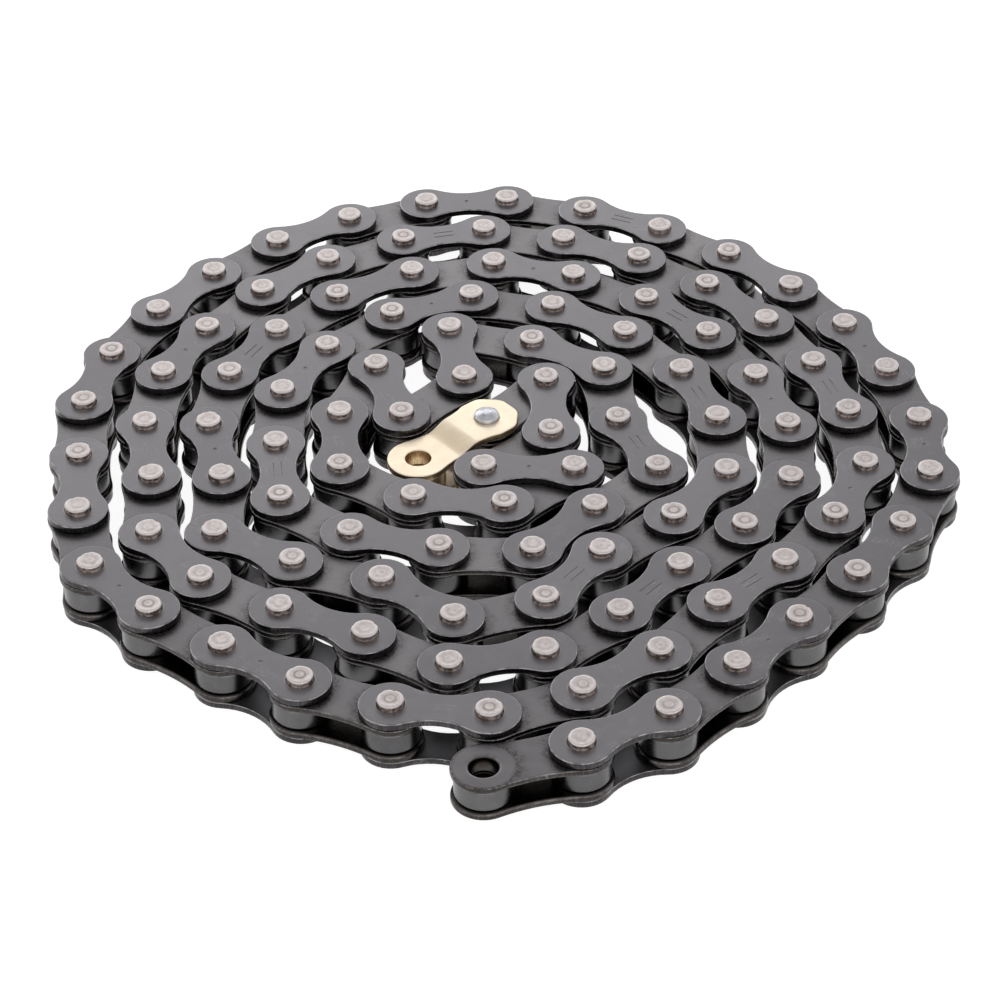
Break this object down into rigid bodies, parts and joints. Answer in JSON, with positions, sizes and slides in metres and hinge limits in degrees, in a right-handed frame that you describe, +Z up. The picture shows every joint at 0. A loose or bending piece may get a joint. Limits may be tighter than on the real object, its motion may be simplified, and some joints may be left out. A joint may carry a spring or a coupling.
{
  "type": "roller chain",
  "caption": "Bicycle roller chain of 12.7 mm pitch, laid in a flat coil, with a gold cranked half link at its inner end and an open inner link at its outer end.",
  "frame": {"origin": "on the floor, under the middle of the coil's box in plan", "axes": "+Z up along the pins; +Y along the coil's longer side, away from the open outer end; +X to the right of that"},
  "size_m": [0.1284, 0.1396, 0.0093],
  "materials": {
    "outer_plate_steel": "dark grey oxide over steel, satin, with bright rims",
    "inner_plate_steel": "dark grey oxide over steel, oily and lightly scuffed",
    "pin_steel": "bare riveted steel ends, warm grey",
    "roller_steel": "dark grey oxide, smooth",
    "half_link_gold": "brass-coloured plating over steel",
    "half_link_pin_steel": "smooth zinc-plated steel, bluish"
  },
  "bodies": {
    "coil": {"coil_inner_plates_upper": "inner_plate_steel", "coil_inner_plates_lower": "inner_plate_steel", "coil_outer_plates_upper": "outer_plate_steel", "coil_outer_plates_lower": "outer_plate_steel", "coil_pins": "pin_steel", "coil_rollers": "roller_steel"},
    "inner_link_1": {"inner_plates_1": "inner_plate_steel"},
    "outer_link_1": {"outer_plates_1": "outer_plate_steel", "pins_1": "pin_steel"},
    "roller_1": {"roller_1": "roller_steel"},
    "roller_2": {"roller_2": "roller_steel"},
    "inner_link_2": {"inner_plates_2": "inner_plate_steel"},
    "outer_link_2": {"outer_plates_2": "outer_plate_steel", "pins_2": "pin_steel"},
    "roller_3": {"roller_3": "roller_steel"},
    "roller_4": {"roller_4": "roller_steel"},
    "inner_link_3": {"inner_plates_3": "inner_plate_steel"},
    "outer_link_3": {"outer_plates_3": "outer_plate_steel", "pins_3": "pin_steel"},
    "roller_5": {"roller_5": "roller_steel"},
    "roller_6": {"roller_6": "roller_steel"},
    "inner_link_4": {"inner_plates_4": "inner_plate_steel"},
    "outer_link_4": {"outer_plates_4": "outer_plate_steel", "pins_4": "pin_steel"},
    "roller_7": {"roller_7": "roller_steel"},
    "roller_8": {"roller_8": "roller_steel"},
    "inner_link_5": {"inner_plates_5": "inner_plate_steel"},
    "outer_link_5": {"outer_plates_5": "outer_plate_steel", "pins_5": "pin_steel"},
    "roller_9": {"roller_9": "roller_steel"},
    "roller_10": {"roller_10": "roller_steel"},
    "inner_link_6": {"inner_plates_6": "inner_plate_steel"},
    "outer_link_6": {"outer_plates_6": "outer_plate_steel", "pins_6": "pin_steel"},
    "roller_11": {"roller_11": "roller_steel"},
    "roller_12": {"roller_12": "roller_steel"},
    "inner_link_7": {"inner_plates_7": "inner_plate_steel"},
    "outer_link_7": {"outer_plates_7": "outer_plate_steel", "pins_7": "pin_steel"},
    "roller_13": {"roller_13": "roller_steel"},
    "roller_14": {"roller_14": "roller_steel"},
    "inner_link_8": {"inner_plates_8": "inner_plate_steel"},
    "outer_link_8": {"outer_plates_8": "outer_plate_steel", "pins_8": "pin_steel"},
    "roller_15": {"roller_15": "roller_steel"},
    "roller_16": {"roller_16": "roller_steel"},
    "half_link": {"half_link_plate_upper": "half_link_gold", "half_link_plate_lower": "half_link_gold", "half_link_pin": "half_link_pin_steel"},
    "half_link_roller": {"half_link_roller": "half_link_gold"}
  },
  "joints": [
    {"name": "pin_16_hinge", "type": "hinge", "parent": "coil", "child": "outer_link_8", "pos_m": [-0.01111, 0.06487, 0.00465], "axis": [0, 0, 1], "range_deg": [0, 30]},
    {"name": "pin_15_hinge", "type": "hinge", "parent": "outer_link_8", "child": "inner_link_8", "pos_m": [0.00158, 0.06554, 0.00465], "axis": [0, 0, 1], "range_deg": [0, 30]},
    {"name": "pin_14_hinge", "type": "hinge", "parent": "inner_link_8", "child": "outer_link_7", "pos_m": [0.01383, 0.0622, 0.00465], "axis": [0, 0, 1], "range_deg": [0, 30]},
    {"name": "pin_13_hinge", "type": "hinge", "parent": "outer_link_7", "child": "inner_link_7", "pos_m": [0.02527, 0.05669, 0.00465], "axis": [0, 0, 1], "range_deg": [0, 30]},
    {"name": "pin_12_hinge", "type": "hinge", "parent": "inner_link_7", "child": "outer_link_6", "pos_m": [0.03557, 0.04925, 0.00465], "axis": [0, 0, 1], "range_deg": [0, 30]},
    {"name": "pin_11_hinge", "type": "hinge", "parent": "outer_link_6", "child": "inner_link_6", "pos_m": [0.04432, 0.04005, 0.00465], "axis": [0, 0, 1], "range_deg": [0, 35]},
    {"name": "pin_10_hinge", "type": "hinge", "parent": "inner_link_6", "child": "outer_link_5", "pos_m": [0.05144, 0.02953, 0.00465], "axis": [0, 0, 1], "range_deg": [0, 35]},
    {"name": "pin_9_hinge", "type": "hinge", "parent": "outer_link_5", "child": "inner_link_5", "pos_m": [0.05649, 0.01788, 0.00465], "axis": [0, 0, 1], "range_deg": [0, 35]},
    {"name": "pin_8_hinge", "type": "hinge", "parent": "inner_link_5", "child": "outer_link_4", "pos_m": [0.05976, 0.00561, 0.00465], "axis": [0, 0, 1], "range_deg": [0, 40]},
    {"name": "pin_7_hinge", "type": "hinge", "parent": "outer_link_4", "child": "inner_link_4", "pos_m": [0.05989, -0.00709, 0.00465], "axis": [0, 0, 1], "range_deg": [0, 40]},
    {"name": "pin_6_hinge", "type": "hinge", "parent": "inner_link_4", "child": "outer_link_3", "pos_m": [0.0548, -0.01873, 0.00465], "axis": [0, 0, 1], "range_deg": [0, 45]},
    {"name": "pin_5_hinge", "type": "hinge", "parent": "outer_link_3", "child": "inner_link_3", "pos_m": [0.04761, -0.02919, 0.00465], "axis": [0, 0, 1], "range_deg": [0, 45]},
    {"name": "pin_4_hinge", "type": "hinge", "parent": "inner_link_3", "child": "outer_link_2", "pos_m": [0.03906, -0.03859, 0.00465], "axis": [0, 0, 1], "range_deg": [0, 50]},
    {"name": "pin_3_hinge", "type": "hinge", "parent": "outer_link_2", "child": "inner_link_2", "pos_m": [0.03024, -0.04773, 0.00465], "axis": [0, 0, 1], "range_deg": [0, 55]},
    {"name": "pin_2_hinge", "type": "hinge", "parent": "inner_link_2", "child": "outer_link_1", "pos_m": [0.02103, -0.05647, 0.00465], "axis": [0, 0, 1], "range_deg": [0, 55]},
    {"name": "pin_1_hinge", "type": "hinge", "parent": "outer_link_1", "child": "inner_link_1", "pos_m": [0.00979, -0.06238, 0.00465], "axis": [0, 0, 1], "range_deg": [0, 60]},
    {"name": "roller_1_spin", "type": "hinge", "parent": "inner_link_1", "child": "roller_1", "pos_m": [-0.00251, -0.06554, 0.00465], "axis": [0, 0, 1], "continuous": true},
    {"name": "roller_2_spin", "type": "hinge", "parent": "inner_link_1", "child": "roller_2", "pos_m": [0.00979, -0.06238, 0.00465], "axis": [0, 0, 1], "continuous": true},
    {"name": "roller_3_spin", "type": "hinge", "parent": "inner_link_2", "child": "roller_3", "pos_m": [0.02103, -0.05647, 0.00465], "axis": [0, 0, 1], "continuous": true},
    {"name": "roller_4_spin", "type": "hinge", "parent": "inner_link_2", "child": "roller_4", "pos_m": [0.03024, -0.04773, 0.00465], "axis": [0, 0, 1], "continuous": true},
    {"name": "roller_5_spin", "type": "hinge", "parent": "inner_link_3", "child": "roller_5", "pos_m": [0.03906, -0.03859, 0.00465], "axis": [0, 0, 1], "continuous": true},
    {"name": "roller_6_spin", "type": "hinge", "parent": "inner_link_3", "child": "roller_6", "pos_m": [0.04761, -0.02919, 0.00465], "axis": [0, 0, 1], "continuous": true},
    {"name": "roller_7_spin", "type": "hinge", "parent": "inner_link_4", "child": "roller_7", "pos_m": [0.0548, -0.01873, 0.00465], "axis": [0, 0, 1], "continuous": true},
    {"name": "roller_8_spin", "type": "hinge", "parent": "inner_link_4", "child": "roller_8", "pos_m": [0.05989, -0.00709, 0.00465], "axis": [0, 0, 1], "continuous": true},
    {"name": "roller_9_spin", "type": "hinge", "parent": "inner_link_5", "child": "roller_9", "pos_m": [0.05976, 0.00561, 0.00465], "axis": [0, 0, 1], "continuous": true},
    {"name": "roller_10_spin", "type": "hinge", "parent": "inner_link_5", "child": "roller_10", "pos_m": [0.05649, 0.01788, 0.00465], "axis": [0, 0, 1], "continuous": true},
    {"name": "roller_11_spin", "type": "hinge", "parent": "inner_link_6", "child": "roller_11", "pos_m": [0.05144, 0.02953, 0.00465], "axis": [0, 0, 1], "continuous": true},
    {"name": "roller_12_spin", "type": "hinge", "parent": "inner_link_6", "child": "roller_12", "pos_m": [0.04432, 0.04005, 0.00465], "axis": [0, 0, 1], "continuous": true},
    {"name": "roller_13_spin", "type": "hinge", "parent": "inner_link_7", "child": "roller_13", "pos_m": [0.03557, 0.04925, 0.00465], "axis": [0, 0, 1], "continuous": true},
    {"name": "roller_14_spin", "type": "hinge", "parent": "inner_link_7", "child": "roller_14", "pos_m": [0.02527, 0.05669, 0.00465], "axis": [0, 0, 1], "continuous": true},
    {"name": "roller_15_spin", "type": "hinge", "parent": "inner_link_8", "child": "roller_15", "pos_m": [0.01383, 0.0622, 0.00465], "axis": [0, 0, 1], "continuous": true},
    {"name": "roller_16_spin", "type": "hinge", "parent": "inner_link_8", "child": "roller_16", "pos_m": [0.00158, 0.06554, 0.00465], "axis": [0, 0, 1], "continuous": true},
    {"name": "half_link_hinge", "type": "hinge", "parent": "coil", "child": "half_link", "pos_m": [-0.00183, 0.00709, 0.00465], "axis": [0, 0, 1], "range_deg": [-2, 2]},
    {"name": "half_link_roller_spin", "type": "hinge", "parent": "half_link", "child": "half_link_roller", "pos_m": [-0.01155, -0.00108, 0.00465], "axis": [0, 0, 1], "continuous": true}
  ]
}
